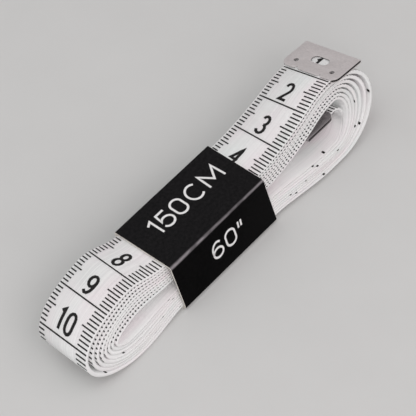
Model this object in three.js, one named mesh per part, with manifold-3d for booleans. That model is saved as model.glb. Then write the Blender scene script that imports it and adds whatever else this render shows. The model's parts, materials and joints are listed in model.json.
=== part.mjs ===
// Cloth tape measure wound flat into a hank and held by a folded card sleeve.
// Millimetres, +Z up. +X runs along the hank to the loop with the outer end clip,
// +Y to the back. The origin is the bottom centre of the whole part's box.

import * as THREE from 'three';
import { mergeVertices } from 'three/addons/utils/BufferGeometryUtils.js';
import Module from 'manifold-3d';

// Tape
const TAPE_WIDTH = 13.7;
const TAPE_THICKNESS = 0.18;
const TURNS = 8;
const LAYER_GAP = 0.33;         // clear space between neighbouring turns in the sleeve
const WAIST_GAP = 1.95;         // height of the slit between the top and bottom runs
const STACK_LEAN = 0.54;        // sideways shift of the stack for each millimetre of height

// Far loop, on the side of the end clips
const FAR_RUN = 27.4;           // rise of the top runs, from the sleeve's edge
const FAR_FLAT_STEP = 0.42;     // level stretch before the bend, more for each turn
const FAR_NOSE = 2.5;           // from the bend's start to the tip of the innermost turn
const FAR_FOOT_BACK = 3.4;      // the innermost bend's foot, back from its crest
const FAR_FOOT_STEP = 0.35;     // more of that for each turn
const FAR_NOSE_SPREAD = 0.5;    // extra slack between turns at the tip
const FAR_EYE_TOP = 11.45;      // height of the innermost turn's crest
const FAR_TOP_SPREAD = 0.03;    // extra slack between turns at the crest
const FAR_SHIFT = 1.6;          // how far the loop lies to the front of the sleeve's line
const FAR_TWIST = 15;           // degrees by which the top runs tilt up at their front edge
const FAR_TWIST_RUN = 27;       // length over which the tilt grows
const FAR_TWIST_END = 0.7;      // part of the bend by which the tilt is gone
const FAR_SAG = 0.1;            // how far the outermost bottom run dips outside the sleeve

// Near loop
const NEAR_RUN = 12;
const NEAR_NOSE = 7.06;
const NEAR_NOSE_SPREAD = 0.7;
const NEAR_LAST_SLACK = 0.66;   // more room for the outermost turn, which stands off
const NEAR_EYE_TOP = 7.85;
const NEAR_TOP_SPREAD = 0.18;
const NEAR_SHIFT = 1.05;
const NEAR_SAG = 0.6;
const NEAR_TWIST = 4.5;         // degrees by which this loop tilts down at its front edge
const NEAR_TWIST_START = 0.35;  // part of the bend by which the tilt has grown

const FAR_GROWTH = 1.25;        // above one, the outer turns are slacker than the inner ones
const SHIFT_RUN = 20;           // length over which a loop moves to the front
const SAG_RUN = 10;

// Ends of the tape
const OUTER_END_BARE = 0.9;     // bare tape between the top of the rise and the clip
const OUTER_END_FALL = 0.06;    // slope of the free end
const OUTER_END_DRIFT = 0.85;   // how far the free end strays to the front
const OUTER_END_LIFT = 0.95;    // how far the free end springs up from the turn below
const INNER_END_BARE = 0.9;     // bare tape between the clip and the innermost bend
const INNER_END_DROP = 2.85;    // how far the inner end hangs below the innermost crest
const INNER_END_DRIFT = -1.4;   // the inner end lies to the back of its loop's line
const INNER_END_PULL = 0.95;    // how far the first bend falls short of the tip
const INNER_END_REJOIN = 0.4;   // part of the first bend from where it comes back into line
const END_BEND = 1.5;           // softness of the bend where the outer end leaves its loop

// Card sleeve
const SLEEVE_LENGTH = 32.7;
const CARD = 0.3;
const SLEEVE_LEAN = 0.4;
const FOLD_RADIUS = 0.55;
const GLUE_FLAP = 9;            // inner flap of the glued lap, under the bottom run
const LAP_SETBACK = 0.9;        // bottom panel's edge, back from the front fold
const SLEEVE_CLEARANCE = 0.3;   // tape to card

// End clips
const CLIP_LENGTH = 10.2;
const CLIP_METAL = 0.3;
const CLIP_CLEARANCE = 0.3;     // tape to metal, each side
const CLIP_OVERHANG = 1.3;      // clip past each edge of the tape
const CLIP_CORNER = 2.2;
const WINDOW_LENGTH = 5;        // slot in the top plate, across the tape
const WINDOW_WIDTH = 2.5;
const WINDOW_INSET = 5.1;       // slot centre from the folded end
const PRONG_WIDTH = 1.2;
const PRONG_DEPTH = 0.7;
const PRONG_OFFSET = 3.4;       // prong notches from the clip's centre line

// Facets
const ARC_STEPS = 14;
const BOTTOM_STEPS = 10;
const TOP_STEPS = 16;
const END_STEPS = 6;
const FOLD_STEPS = 5;
const MERGE_TOLERANCE = 1e-5;

const { lerp, smoothstep, degToRad } = THREE.MathUtils;

// Heights and reaches of the winding, as functions of the turn count from the inner end
const pitch = TAPE_THICKNESS + LAYER_GAP;
const sleeveHalf = SLEEVE_LENGTH / 2;
const farRise = sleeveHalf + FAR_RUN;
const grown = (turn) => TURNS * (turn / TURNS) ** FAR_GROWTH;
const farCrest = (turn) => farRise + FAR_FLAT_STEP * grown(turn);
const farFoot = (turn) => farCrest(turn) - FAR_FOOT_BACK - FAR_FOOT_STEP * turn;
const farTip = (turn) => farCrest(turn) + FAR_NOSE + pitch * turn + FAR_NOSE_SPREAD * grown(turn);
const nearCrest = -(sleeveHalf + NEAR_RUN);
const lastSlack = (turn) => NEAR_LAST_SLACK * smoothstep(turn, TURNS - 1.25, TURNS - 0.5);
const nearTip = (turn) => nearCrest - NEAR_NOSE - (pitch + NEAR_NOSE_SPREAD) * turn - lastSlack(turn);

const bottomOfSleeve = 2 * CARD + SLEEVE_CLEARANCE + TAPE_THICKNESS / 2;
const middle = bottomOfSleeve + WAIST_GAP / 2 + pitch * (TURNS - 0.5);
const waistTop = (turn) => middle + WAIST_GAP / 2 + pitch * turn;
const waistBottom = (turn) => middle - WAIST_GAP / 2 - pitch * turn;
const sleeveHeight = waistTop(TURNS) + TAPE_THICKNESS / 2 + SLEEVE_CLEARANCE + CARD;

const farTop = (turn) => FAR_EYE_TOP + (pitch + FAR_TOP_SPREAD) * turn;
const nearTop = (turn) => NEAR_EYE_TOP + (pitch + NEAR_TOP_SPREAD) * turn;
const farHeight = farTop(TURNS) + OUTER_END_LIFT;

// The clips, and the straight stretches of tape that they hold
const clipHalfHeight = TAPE_THICKNESS / 2 + CLIP_CLEARANCE + CLIP_METAL;
const clipHalfWidth = TAPE_WIDTH / 2 + CLIP_OVERHANG;
const heldLength = CLIP_LENGTH - clipHalfHeight;
const outerEndRun = OUTER_END_BARE + heldLength;
const innerEndRun = INNER_END_BARE + heldLength;

const share = (index, steps) => index / steps;
const pastSleeve = (x, run) => smoothstep(Math.abs(x), sleeveHalf, sleeveHalf + run);
const sag = (x, turn) => (x > 0 ? FAR_SAG : NEAR_SAG) * (turn / TURNS) * pastSleeve(x, SAG_RUN);
const bottomHeight = (x, turn) => waistBottom(turn) - sag(x, turn);

// Nought, except on the last top run, where it grows to one at the far crest
const lastRun = (x, turn) => (turn > TURNS - 0.5 ? smoothstep(x, sleeveHalf, farRise) : 0);

function topHeight(x, turn) {
  if (x > 0) {
    const rise = smoothstep(x, sleeveHalf, farRise);
    return lerp(waistTop(turn), farTop(turn), rise) + OUTER_END_LIFT * lastRun(x, turn);
  }
  return lerp(waistTop(turn), nearTop(turn), smoothstep(-x, sleeveHalf, -nearCrest));
}

// A soft corner and then a straight fall, for the end that leaves its loop
const endFall = (run, slope) => slope * (Math.hypot(run, END_BEND) - END_BEND);

// Half an ellipse, skewed where its foot lies back from its crest, round the tip of a loop
function loopArc(crest, foot, tip, top, bottom, angle) {
  const middleX = (crest + foot) / 2;
  return {
    x: middleX + ((crest - foot) / 2) * Math.sin(angle) + (tip - middleX) * Math.cos(angle),
    z: (top + bottom) / 2 + ((top - bottom) / 2) * Math.sin(angle),
  };
}

// The whole winding in side view, from the inner end to the outer end
function windingProfile() {
  const spots = [];
  for (let i = 0; i < END_STEPS; i += 1) {
    const run = innerEndRun * (1 - share(i, END_STEPS));
    const x = farCrest(0) - run;
    const tilt = 1 / pastSleeve(x, FAR_TWIST_RUN);
    spots.push({ x, z: farTop(0) - INNER_END_DROP, tilt, drift: INNER_END_DRIFT });
  }
  for (let loop = 0; loop < TURNS; loop += 1) {
    for (let i = 0; i < ARC_STEPS; i += 1) {
      const part = share(i, ARC_STEPS);
      const turn = loop + part / 4;
      const apart = loop === 0 ? 1 - smoothstep(part, INNER_END_REJOIN, 1) : 0;
      const bottom = bottomHeight(farFoot(turn), turn);
      const angle = Math.PI * (0.5 - part);
      const top = farTop(turn) - INNER_END_DROP * apart;
      const tip = farTip(turn) - INNER_END_PULL * apart;
      const spot = loopArc(farCrest(turn), farFoot(turn), tip, top, bottom, angle);
      const tilt = 1 - smoothstep(part, 0, FAR_TWIST_END);
      spots.push({ ...spot, tilt, drift: INNER_END_DRIFT * apart });
    }
    for (let i = 0; i < BOTTOM_STEPS; i += 1) {
      const part = share(i, BOTTOM_STEPS);
      const turn = loop + (1 + part) / 4;
      const x = lerp(farFoot(loop + 0.25), nearCrest, part);
      spots.push({ x, z: bottomHeight(x, turn), tilt: 0 });
    }
    for (let i = 0; i < ARC_STEPS; i += 1) {
      const part = share(i, ARC_STEPS);
      const turn = loop + (2 + part) / 4;
      const bottom = bottomHeight(nearCrest, turn);
      const angle = Math.PI * (part - 0.5);
      const spot = loopArc(nearCrest, nearCrest, nearTip(turn), nearTop(turn), bottom, angle);
      spots.push({ ...spot, tilt: smoothstep(part, 0, NEAR_TWIST_START) });
    }
    for (let i = 0; i < TOP_STEPS; i += 1) {
      const part = share(i, TOP_STEPS);
      const turn = loop + (3 + part) / 4;
      const x = lerp(nearCrest, loop + 1 < TURNS ? farCrest(loop + 1) : farRise, part);
      const drift = OUTER_END_DRIFT * lastRun(x, turn);
      spots.push({ x, z: topHeight(x, turn), tilt: 1, drift });
    }
  }
  for (let i = 0; i <= END_STEPS; i += 1) {
    const run = outerEndRun * share(i, END_STEPS);
    const z = farHeight - endFall(run, OUTER_END_FALL);
    spots.push({ x: farRise + run, z, tilt: 1, drift: OUTER_END_DRIFT });
  }
  return spots;
}

// Lays a spot of the profile sideways: the stack leans, the loops lie to the front,
// and their top runs tilt
function laidFrame({ x, z, tilt, drift = 0 }) {
  const shift = (x > 0 ? FAR_SHIFT : NEAR_SHIFT) * pastSleeve(x, SHIFT_RUN);
  const twist = x > 0 ? FAR_TWIST * pastSleeve(x, FAR_TWIST_RUN) : -NEAR_TWIST * pastSleeve(x, NEAR_RUN);
  const angle = degToRad(twist) * tilt;
  return {
    centre: new THREE.Vector3(x, STACK_LEAN * (z - middle) - shift - drift, z),
    across: new THREE.Vector3(0, Math.cos(angle), -Math.sin(angle)),
  };
}

// Rings of four corners round the tape, one at each spot
function tapeRings(frames) {
  return frames.map(({ centre, across }, i) => {
    const before = frames[Math.max(i - 1, 0)].centre;
    const after = frames[Math.min(i + 1, frames.length - 1)].centre;
    const along = after.clone().sub(before).normalize();
    const face = along.clone().cross(across).normalize();
    const corner = (side, up) => centre.clone()
      .addScaledVector(across, side * TAPE_WIDTH / 2)
      .addScaledVector(face, up * TAPE_THICKNESS / 2);
    return [corner(-1, -1), corner(1, -1), corner(1, 1), corner(-1, 1)];
  });
}

// Joins rings of equal size into one closed body
function closedSkin(rings) {
  const size = rings[0].length;
  const triangles = [];
  for (let i = 0; i + 1 < rings.length; i += 1) {
    for (let j = 0; j < size; j += 1) {
      const a = i * size + j;
      const b = i * size + ((j + 1) % size);
      triangles.push(a, b, b + size, a, b + size, a + size);
    }
  }
  const last = (rings.length - 1) * size;
  for (let j = 1; j + 1 < size; j += 1) {
    triangles.push(0, j + 1, j);
    triangles.push(last, last + j, last + j + 1);
  }
  const geometry = new THREE.BufferGeometry().setFromPoints(rings.flat());
  geometry.setIndex(triangles);
  geometry.computeVertexNormals();
  return geometry;
}

// Least clear space between two stretches of the tape that lie on each other, on points
// of its middle line in upright planes along the hank
function leastGap(frames) {
  const reach = 2 * ARC_STEPS;
  const closest = new THREE.Vector3();
  let least = Infinity;
  for (const y of [-TAPE_WIDTH / 3, 0, TAPE_WIDTH / 3]) {
    const line = frames.map(({ centre, across }) => {
      const side = (y - centre.y) / across.y;
      const cut = centre.clone().addScaledVector(across, side);
      return Math.abs(side) < TAPE_WIDTH / 2 ? cut : null;
    });
    for (let i = 0; i + reach < line.length; i += 1) {
      for (let j = i + reach; j + 1 < line.length; j += 1) {
        if (line[i] && line[j] && line[j + 1]) {
          new THREE.Line3(line[j], line[j + 1]).closestPointToPoint(line[i], true, closest);
          least = Math.min(least, closest.distanceTo(line[i]));
        }
      }
    }
  }
  return least - TAPE_THICKNESS;
}

function measuredLength(frames) {
  let length = 0;
  for (let i = 1; i < frames.length; i += 1) {
    length += frames[i].centre.distanceTo(frames[i - 1].centre);
  }
  return length;
}

// An outline of straight walls whose folded corners are rounded; a corner is
// [y, z, radius]
function foldedPath(path, corners) {
  const point = ([y, z]) => new THREE.Vector2(y, z);
  corners.forEach((corner, i) => {
    const here = point(corner);
    const before = point(corners[(i + corners.length - 1) % corners.length]);
    const after = point(corners[(i + 1) % corners.length]);
    const radius = corner[2];
    const enter = here.clone().add(before.sub(here).setLength(radius));
    const leave = here.clone().add(after.sub(here).setLength(radius));
    if (i === 0) {
      path.moveTo(enter.x, enter.y);
    } else {
      path.lineTo(enter.x, enter.y);
    }
    if (radius > 0) {
      path.quadraticCurveTo(here.x, here.y, leave.x, leave.y);
    }
  });
  path.closePath();
  return path;
}

// Card strip folded round the stack, with its glue flap inside the bottom panel
function sleeveGeometry() {
  const cardAcross = CARD * Math.hypot(1, SLEEVE_LEAN);
  const stackHalf = (waistTop(TURNS) - waistBottom(TURNS)) / 2;
  const leanRoom = Math.abs(STACK_LEAN - SLEEVE_LEAN) * stackHalf;
  const outer = TAPE_WIDTH / 2 + leanRoom + SLEEVE_CLEARANCE * Math.hypot(1, SLEEVE_LEAN) + cardAcross;
  const inner = outer - cardAcross;
  const leanAt = (z) => SLEEVE_LEAN * (z - middle);
  const front = (z, half) => leanAt(z) - half;
  const back = (z, half) => leanAt(z) + half;
  const ceiling = sleeveHeight - CARD;
  const lapEdge = front(0, outer) + LAP_SETBACK;
  const flapEdge = front(0, outer) + GLUE_FLAP;
  const innerRadius = Math.max(FOLD_RADIUS - CARD, 0);
  const outline = foldedPath(new THREE.Shape(), [
    [lapEdge, 0, 0],
    [back(0, outer), 0, FOLD_RADIUS],
    [back(sleeveHeight, outer), sleeveHeight, FOLD_RADIUS],
    [front(sleeveHeight, outer), sleeveHeight, FOLD_RADIUS],
    [front(CARD, outer), CARD, FOLD_RADIUS],
    [lapEdge, CARD, 0],
  ]);
  outline.holes.push(foldedPath(new THREE.Path(), [
    [front(2 * CARD, inner), 2 * CARD, innerRadius],
    [front(ceiling, inner), ceiling, innerRadius],
    [back(ceiling, inner), ceiling, innerRadius],
    [back(CARD, inner), CARD, innerRadius],
    [flapEdge, CARD, 0],
    [flapEdge, 2 * CARD, 0],
  ]));
  const geometry = new THREE.ExtrudeGeometry(outline, {
    depth: SLEEVE_LENGTH, bevelEnabled: false, curveSegments: FOLD_STEPS,
  });
  const alongX = new THREE.Matrix4().makeBasis(
    new THREE.Vector3(0, 1, 0), new THREE.Vector3(0, 0, 1), new THREE.Vector3(1, 0, 0),
  );
  return geometry.applyMatrix4(alongX).translate(-sleeveHalf, 0, 0);
}

// Joining and cutting of closed solids
const wasm = await Module();
wasm.setup();

function solid(geometry) {
  const bare = geometry.clone();
  bare.deleteAttribute('normal');
  bare.deleteAttribute('uv');
  const merged = mergeVertices(bare, MERGE_TOLERANCE);
  return new wasm.Manifold(new wasm.Mesh({
    numProp: 3,
    vertProperties: new Float32Array(merged.attributes.position.array),
    triVerts: new Uint32Array(merged.index.array),
  }));
}

function meshGeometry(body) {
  const { vertProperties, triVerts } = body.getMesh();
  const geometry = new THREE.BufferGeometry();
  geometry.setAttribute('position', new THREE.Float32BufferAttribute(vertProperties, 3));
  geometry.setIndex(Array.from(triVerts));
  geometry.computeVertexNormals();
  return geometry;
}

function prism(shape, from, to) {
  const geometry = new THREE.ExtrudeGeometry(shape, {
    depth: to - from, bevelEnabled: false, curveSegments: FOLD_STEPS + 1,
  });
  return solid(geometry.translate(0, 0, from));
}

// Sheet metal clip folded over an end of the tape. The fold's outside is at x = 0,
// the open end at x = -CLIP_LENGTH, and the slotted plate on top.
function clipGeometry() {
  const outside = clipHalfHeight;
  const inside = clipHalfHeight - CLIP_METAL;
  const fold = new THREE.Shape();
  fold.moveTo(-CLIP_LENGTH, -outside);
  fold.lineTo(-outside, -outside);
  fold.absarc(-outside, 0, outside, -Math.PI / 2, Math.PI / 2, false);
  fold.lineTo(-CLIP_LENGTH, outside);
  fold.lineTo(-CLIP_LENGTH, inside);
  fold.lineTo(-outside, inside);
  fold.absarc(-outside, 0, inside, Math.PI / 2, -Math.PI / 2, true);
  fold.lineTo(-CLIP_LENGTH, -inside);
  fold.closePath();
  const folded = new THREE.ExtrudeGeometry(fold, {
    depth: 2 * clipHalfWidth, bevelEnabled: false, curveSegments: FOLD_STEPS + 1,
  });
  folded.rotateX(Math.PI / 2).translate(0, clipHalfWidth, 0);

  const margin = CLIP_METAL;
  const cornerX = CLIP_CORNER - CLIP_LENGTH;
  const cornerY = clipHalfWidth - CLIP_CORNER;
  const plan = new THREE.Shape();
  plan.moveTo(margin, -clipHalfWidth - margin);
  plan.lineTo(margin, clipHalfWidth + margin);
  plan.lineTo(cornerX, clipHalfWidth + margin);
  plan.lineTo(cornerX, clipHalfWidth);
  plan.absarc(cornerX, cornerY, CLIP_CORNER, Math.PI / 2, Math.PI, false);
  plan.lineTo(-CLIP_LENGTH, -cornerY);
  plan.absarc(cornerX, -cornerY, CLIP_CORNER, Math.PI, 1.5 * Math.PI, false);
  plan.lineTo(cornerX, -clipHalfWidth - margin);
  plan.closePath();

  const slot = new THREE.Shape();
  const slotEnd = (WINDOW_LENGTH - WINDOW_WIDTH) / 2;
  slot.absarc(-WINDOW_INSET, slotEnd, WINDOW_WIDTH / 2, 0, Math.PI, false);
  slot.absarc(-WINDOW_INSET, -slotEnd, WINDOW_WIDTH / 2, Math.PI, 2 * Math.PI, false);

  let body = solid(folded).intersect(prism(plan, -outside - margin, outside + margin));
  body = body.subtract(prism(slot, 0, outside + margin));
  for (const side of [-PRONG_OFFSET, PRONG_OFFSET]) {
    const notch = new THREE.Shape();
    notch.moveTo(-CLIP_LENGTH - margin, side - PRONG_WIDTH / 2);
    notch.lineTo(-CLIP_LENGTH, side - PRONG_WIDTH / 2);
    notch.lineTo(-CLIP_LENGTH + PRONG_DEPTH, side);
    notch.lineTo(-CLIP_LENGTH, side + PRONG_WIDTH / 2);
    notch.lineTo(-CLIP_LENGTH - margin, side + PRONG_WIDTH / 2);
    body = body.subtract(prism(notch, 0, outside + margin));
  }
  return meshGeometry(body);
}

// Turns a clip so that it straddles the straight stretch at an end of the tape
function seatClip(mesh, end, inside, up) {
  const along = end.centre.clone().sub(inside.centre).normalize();
  const face = along.clone().cross(end.across).multiplyScalar(up).normalize();
  const across = face.clone().cross(along);
  mesh.quaternion.setFromRotationMatrix(new THREE.Matrix4().makeBasis(along, across, face));
  mesh.position.copy(end.centre).addScaledVector(along, clipHalfHeight);
  return mesh;
}

function piece(name, geometry, color, roughness, metalness) {
  const mesh = new THREE.Mesh(geometry, new THREE.MeshStandardMaterial({ color, roughness, metalness }));
  mesh.name = name;
  return mesh;
}

const frames = windingProfile().map(laidFrame);
const metalColor = 0xb4b0b0;
const pieces = [
  piece('tape_ribbon', closedSkin(tapeRings(frames)), 0xe6e3e4, 0.45, 0),
  piece('card_sleeve', sleeveGeometry(), 0x17171a, 0.6, 0),
  seatClip(piece('outer_end_clip', clipGeometry(), metalColor, 0.4, 1),
    frames.at(-1), frames.at(-END_STEPS), 1),
  seatClip(piece('inner_end_clip', clipGeometry(), metalColor, 0.4, 1),
    frames[0], frames[END_STEPS - 1], -1),
];

console.log(`tape length ${measuredLength(frames).toFixed(1)} mm in ${TURNS} turns`);
console.log(`least gap between turns ${leastGap(frames).toFixed(3)} mm`);

const hank = new THREE.Group();
hank.add(...pieces);
hank.updateMatrixWorld(true);
const box = new THREE.Box3().setFromObject(hank, true);
const centre = box.getCenter(new THREE.Vector3());
hank.position.set(-centre.x, -centre.y, -box.min.z);

const tapeMeasure = new THREE.Group();
tapeMeasure.add(hank);

export default tapeMeasure;
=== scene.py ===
"""Cloth tape measure wound into a hank and held by a card sleeve, dressed round its CAD frame."""

import bisect
import json
import math

import bmesh
import bpy
from mathutils import Matrix, Vector


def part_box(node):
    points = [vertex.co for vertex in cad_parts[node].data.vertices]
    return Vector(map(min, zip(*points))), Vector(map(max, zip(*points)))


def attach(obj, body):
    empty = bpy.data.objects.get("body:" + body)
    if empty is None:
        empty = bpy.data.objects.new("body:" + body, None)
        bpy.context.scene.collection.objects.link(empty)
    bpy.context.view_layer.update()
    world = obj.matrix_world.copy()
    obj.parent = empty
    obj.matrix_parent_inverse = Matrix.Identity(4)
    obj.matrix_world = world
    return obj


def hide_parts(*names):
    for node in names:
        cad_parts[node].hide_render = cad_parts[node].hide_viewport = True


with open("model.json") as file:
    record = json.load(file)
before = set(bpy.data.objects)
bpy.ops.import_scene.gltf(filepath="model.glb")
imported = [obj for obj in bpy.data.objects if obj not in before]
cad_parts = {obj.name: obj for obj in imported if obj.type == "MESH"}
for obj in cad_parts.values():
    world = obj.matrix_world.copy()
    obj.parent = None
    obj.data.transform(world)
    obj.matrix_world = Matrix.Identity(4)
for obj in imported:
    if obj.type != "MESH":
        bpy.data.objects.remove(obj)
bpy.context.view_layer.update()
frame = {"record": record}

MM = 0.001

# The winding, as the solid lays it
TAPE_WIDTH = 13.7 * MM
SOLID_THICKNESS = 0.18 * MM
LAYER_GAP = 0.33 * MM
TURNS = 8
WAIST_GAP = 1.95 * MM
STACK_LEAN = 0.54
FAR_RUN = 27.4 * MM
FAR_FLAT_STEP = 0.42 * MM
FAR_NOSE = 2.5 * MM
FAR_FOOT_BACK = 3.4 * MM
FAR_FOOT_STEP = 0.35 * MM
FAR_NOSE_SPREAD = 0.5 * MM
FAR_EYE_TOP = 11.45 * MM
FAR_TOP_SPREAD = 0.03 * MM
FAR_SHIFT = 1.6 * MM
FAR_TWIST = math.radians(15)
FAR_TWIST_RUN = 27 * MM
FAR_TWIST_END = 0.7
FAR_SAG = 0.1 * MM
NEAR_RUN = 12 * MM
NEAR_NOSE = 7.06 * MM
NEAR_NOSE_SPREAD = 0.7 * MM
NEAR_LAST_SLACK = 0.66 * MM
LAST_SLACK_START = TURNS - 1.25
LAST_RUN_START = TURNS - 0.5
NEAR_EYE_TOP = 7.85 * MM
NEAR_TOP_SPREAD = 0.18 * MM
NEAR_SHIFT = 1.05 * MM
NEAR_SAG = 0.6 * MM
NEAR_TWIST = math.radians(4.5)
NEAR_TWIST_START = 0.35
SHIFT_RUN = 20 * MM
SAG_RUN = 10 * MM
END_BARE = 0.9 * MM
OUTER_END_FALL = 0.06
OUTER_END_DRIFT = 0.85 * MM
OUTER_END_LIFT = 0.95 * MM
OUTER_END_BEND = 1.5 * MM
INNER_END_DROP = 2.85 * MM
INNER_END_DRIFT = -1.4 * MM
INNER_END_REJOIN = 0.4

# The sleeve and the clips
SLEEVE_LENGTH = 32.7 * MM
CARD = 0.3 * MM
SLEEVE_LEAN = 0.4
FOLD_RADIUS = 0.55 * MM
GLUE_FLAP = 9 * MM
LAP_SETBACK = 0.9 * MM
SLEEVE_CLEARANCE = 0.3 * MM
CLIP_LENGTH = 10.2 * MM
CLIP_METAL = 0.3 * MM
CLIP_CLEARANCE = 0.3 * MM
CLIP_OVERHANG = 1.3 * MM
CLIP_CORNER = 2.2 * MM
SLOT_LENGTH = 5 * MM
SLOT_WIDTH = 2.5 * MM
SLOT_INSET = 5.1 * MM
TOOTH_WIDTH = 1.3 * MM
TOOTH_DEPTH = 0.9 * MM
TOOTH_OFFSET = 3.4 * MM

# What follows from them
PITCH = SOLID_THICKNESS + LAYER_GAP
SLEEVE_HALF = SLEEVE_LENGTH / 2
FAR_RISE = SLEEVE_HALF + FAR_RUN
NEAR_CREST = -(SLEEVE_HALF + NEAR_RUN)
LOWEST_TURN = 2 * CARD + SLEEVE_CLEARANCE + SOLID_THICKNESS / 2
MIDDLE = LOWEST_TURN + WAIST_GAP / 2 + PITCH * (TURNS - 0.5)
CLIP_HALF_HEIGHT = SOLID_THICKNESS / 2 + CLIP_CLEARANCE + CLIP_METAL
CLIP_HALF_WIDTH = TAPE_WIDTH / 2 + CLIP_OVERHANG
END_RUN = END_BARE + CLIP_LENGTH - CLIP_HALF_HEIGHT

# Where the cloth lies a little otherwise than the solid
FAR_GROWTH = 1.7  # above one, the outer turns are slacker than the inner ones
INNER_END_PULL = 0.2 * MM
NEAR_SETTLE = Vector((0.49, 0.4, -0.78)) * MM
SETTLE_LOW = 3 * MM
SETTLE_HIGH = 13 * MM
TURN_WANDER = 0.2 * MM
WANDER_RATE = 5.1  # radians for each turn
WANDER_RISE = (0, 0.2)  # turns over which the inner end comes free to wander
WANDER_FALL = (TURNS - 0.4, TURNS - 0.1)  # and over which the outer end is held again

# The cloth and its print
CLOTH_THICKNESS = 0.46 * MM
CRIMPED_THICKNESS = 0.34 * MM
CLOTH_LOFT = 0.68  # share of a spread gap that the cloth fills
CLOTH_LOFT_MOST = 0.46 * MM
CLOTH_EDGE = 0.09 * MM
THREAD_RATE = 300  # radians for each width of the tape
INK_RISE = 0.016 * MM
INK_ROOT = 0.03 * MM
TICK_WIDTH = 0.34 * MM
LINE_WIDTH = 0.35 * MM
PRINT_MARGIN = 0.2 * MM
PRINT_WANDER = 0.11 * MM
PRINT_WAVE = 30 * MM
FRONT_TICK = 2.8 * MM
FRONT_TICK_FIVE = 3.6 * MM
BACK_TICK = 1.5 * MM
BACK_TICK_FIVE = 2.2 * MM
SCALE_START = -0.05 * MM
FIGURE_HEIGHT = 5.4 * MM
FIGURE_WIDTH = 2.5 * MM
ONE_WIDTH = 1.375 * MM
FIGURE_GAP = 0.8 * MM
FIRST_FIGURE_GAP = 1.5 * MM
FIGURE_SPACE = 0.75 * MM
CLOSE_SPACE = 0.45 * MM
FIGURE_STROKE = 0.7 * MM
FIGURE_TURN_STEP = 30  # degrees
FIGURE_CUT = 0.8 * MM
MITRE_LIMIT = 0.45  # keeps the outer corner of a sharp bend from running away
FIGURE_CENTRE = 0.7 * MM
INCH = 25.4 * MM
INCH_LINE = 6 * MM
INCH_DOT = 0.8 * MM
INCH_DOT_WIDTH = 0.6 * MM
INCH_CENTRE = 3.2 * MM

# The card, and the words, wear and painted highlights on it
BOARD = 0.36 * MM
BOARD_EDGE = 0.05 * MM
GLUE_LINE = 0.02 * MM
TOP_WORDS_FOOT = 1.5 * MM
TOP_WORDS_HEIGHT = 4.85 * MM
TOP_WORDS = [
    ("1", -10.9 * MM, 1.9 * MM), ("5", -8.05 * MM, 3.8 * MM), ("0", -3.5 * MM, 3.75 * MM),
    ("C", 1.36 * MM, 4.9 * MM), ("M", 6.95 * MM, 5.7 * MM),
]
FRONT_WORDS_FOOT = 4.2 * MM
FRONT_WORDS_HEIGHT = 4.4 * MM
FRONT_WORDS = [("6", -4.3 * MM, 3.7 * MM), ("0", 0.3 * MM, 3.7 * MM), ('"', 4.9 * MM, 1.7 * MM)]
WORD_STROKE = 0.55 * MM
WORD_TURN_STEP = 12  # degrees
WORD_CUT = 2 * MM
# How far the band on each fold reaches, which is rubbed card and also a painted highlight, and how far
# the front band is lowered to sit where the highlight falls
FRONT_WEAR_SHEEN_REACH = 0.62 * MM
BACK_WEAR_SHEEN_REACH = 0.5 * MM
WEAR_SHEEN_DROP = 0.25 * MM
WEAR_SHEEN_NEAR = 0.95  # what the reach of the wear and painted highlight is divided by at the near end
WEAR_SHEEN_FAR = 1.4  # and at the far end
WEAR_SHEEN_CORE = 0.05  # share of the reach that is rubbed most and painted brightest
WEAR_SHEEN_BACK_SHARE = 0.8
# Where the top panel's painted sheen fades in, below the top
TOP_SHEEN_START = 0.6 * MM
TOP_SHEEN_END = 0.1 * MM

# The clips' sheet metal, crimped closer to the cloth than the solids are
PLATE = 0.2 * MM
PLATE_EDGE = 0.04 * MM
CRIMP_GAP = 0.09 * MM
FOLD_HALF = CRIMPED_THICKNESS / 2 + CRIMP_GAP + PLATE
DENT_INSET = 7.5 * MM
DENT_OFFSET = 5.4 * MM
DENT_SIZE = 1.25 * MM
DENT_DEPTH = 0.15 * MM
DENT_HOLE = 0.5 * MM
CUT_DEPTH = 3 * PLATE
SLOT_ROUNDING = 0.499 * SLOT_WIDTH
TOOTH_FOOT = FOLD_HALF / 4
TOOTH_REACH = 1.5 * FOLD_HALF

# Two places closer than this are the same one
SAME = 0.001 * MM


def smoothstep(value, start, end):
    part = min(1.0, max(0.0, (value - start) / (end - start)))
    return part * part * (3 - 2 * part)


def lerp(a, b, part):
    return a + (b - a) * part


def grown(turn):
    return TURNS * (max(turn, 0.0) / TURNS) ** FAR_GROWTH


def far_crest(turn):
    return FAR_RISE + FAR_FLAT_STEP * grown(turn)


def far_tip(turn):
    return far_crest(turn) + FAR_NOSE + PITCH * turn + FAR_NOSE_SPREAD * grown(turn)


def far_foot(turn):
    return far_crest(turn) - FAR_FOOT_BACK - FAR_FOOT_STEP * turn


def near_tip(turn):
    slack = NEAR_LAST_SLACK * smoothstep(turn, LAST_SLACK_START, LAST_RUN_START)
    return NEAR_CREST - NEAR_NOSE - (PITCH + NEAR_NOSE_SPREAD) * turn - slack


def waist_top(turn):
    return MIDDLE + WAIST_GAP / 2 + PITCH * turn


def waist_bottom(turn):
    return MIDDLE - WAIST_GAP / 2 - PITCH * turn


def far_top(turn):
    return FAR_EYE_TOP + (PITCH + FAR_TOP_SPREAD) * turn


def near_top(turn):
    return NEAR_EYE_TOP + (PITCH + NEAR_TOP_SPREAD) * turn


def past_sleeve(x, run):
    return smoothstep(abs(x), SLEEVE_HALF, SLEEVE_HALF + run)


def bottom_height(x, turn):
    sag = (FAR_SAG if x > 0 else NEAR_SAG) * turn / TURNS
    return waist_bottom(turn) - sag * past_sleeve(x, SAG_RUN)


def last_run(x, turn):
    return smoothstep(x, SLEEVE_HALF, FAR_RISE) if turn > LAST_RUN_START else 0.0


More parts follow.
